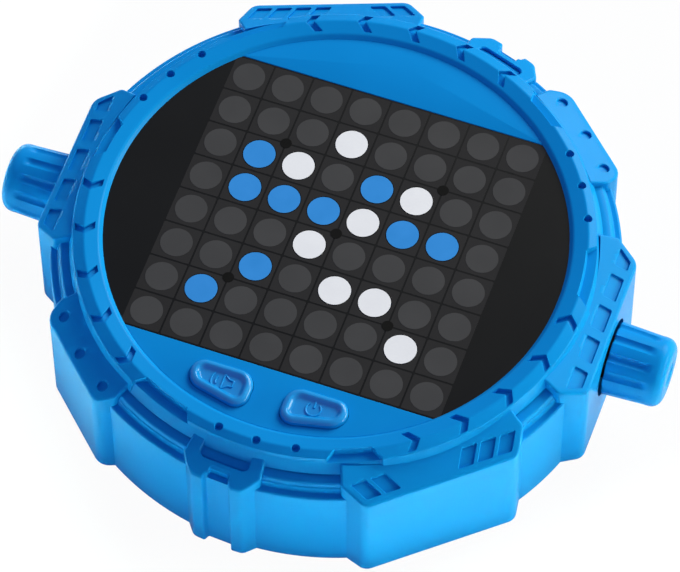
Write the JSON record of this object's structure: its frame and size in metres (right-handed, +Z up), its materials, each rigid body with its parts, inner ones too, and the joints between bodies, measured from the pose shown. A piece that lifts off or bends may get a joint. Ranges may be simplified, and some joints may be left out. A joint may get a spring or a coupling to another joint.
{
  "type": "handheld electronic disc-flipping board game",
  "caption": "Round blue handheld disc-flipping game with a lit eight-by-eight board under a chevron bezel, fluted side dials, and sound and power keys",
  "frame": {"origin": "on the drum's axis, at the plane under the feet", "axes": "+X toward the right dial, +Y toward the top row of the board, +Z up out of the face"},
  "size_m": [0.1602, 0.1355, 0.0368],
  "materials": {
    "blue_plastic": "satin-gloss moulded plastic",
    "smoked_panel": "smoked translucent sheet with a printed grid",
    "diffuser_white": "milky light diffuser",
    "board_green": "solder-masked circuit board",
    "steel": "plated steel",
    "dark_plastic": "black moulded plastic and rubber",
    "contact_metal": "plated spring contact"
  },
  "bodies": {
    "root": {"housing": "blue_plastic", "bezel_ring": "blue_plastic", "face_plate": "blue_plastic", "bottom_cover": "blue_plastic", "battery_door": "blue_plastic", "display_panel": "smoked_panel", "diffuser_sheet": "diffuser_white", "light_grid": "dark_plastic", "main_board": "board_green", "sound_switch": "dark_plastic", "power_switch": "dark_plastic", "left_encoder": "dark_plastic", "right_encoder": "dark_plastic", "speaker": "dark_plastic", "battery_1": "dark_plastic", "battery_2": "dark_plastic", "battery_3": "dark_plastic", "foot_1": "dark_plastic", "foot_2": "dark_plastic", "foot_3": "dark_plastic", "foot_4": "dark_plastic", "left_nut": "steel", "right_nut": "steel", "door_screw": "steel", "case_screw_1": "steel", "case_screw_2": "steel", "case_screw_3": "steel", "case_screw_4": "steel", "case_screw_5": "steel", "case_screw_6": "steel", "board_screw_1": "steel", "board_screw_2": "steel", "board_screw_3": "steel", "board_screw_4": "steel", "left_contact": "contact_metal", "right_contact": "contact_metal"},
    "sound_key": {"sound_button": "blue_plastic"},
    "power_key": {"power_button": "blue_plastic"},
    "left_push": {"left_plunger": "steel"},
    "left_dial": {"left_shaft": "steel", "left_knob": "blue_plastic"},
    "right_push": {"right_plunger": "steel"},
    "right_dial": {"right_shaft": "steel", "right_knob": "blue_plastic"}
  },
  "joints": [
    {"name": "sound_press", "type": "slide", "parent": "root", "child": "sound_key", "axis": [0, 0, -1], "range_m": [0, 0.0008], "stiffness_N_per_m": 400, "springref_m": -0.0004},
    {"name": "power_press", "type": "slide", "parent": "root", "child": "power_key", "axis": [0, 0, -1], "range_m": [0, 0.0008], "stiffness_N_per_m": 400, "springref_m": -0.0004},
    {"name": "left_press", "type": "slide", "parent": "root", "child": "left_push", "axis": [1, 0, 0], "range_m": [0, 0.001], "stiffness_N_per_m": 600, "springref_m": -0.0005},
    {"name": "left_turn", "type": "hinge", "parent": "left_push", "child": "left_dial", "pos_m": [-0.07, 0, 0.0177], "axis": [1, 0, 0], "continuous": true},
    {"name": "right_press", "type": "slide", "parent": "root", "child": "right_push", "axis": [-1, 0, 0], "range_m": [0, 0.001], "stiffness_N_per_m": 600, "springref_m": -0.0005},
    {"name": "right_turn", "type": "hinge", "parent": "right_push", "child": "right_dial", "pos_m": [0.07, 0, 0.0177], "axis": [1, 0, 0], "continuous": true}
  ]
}
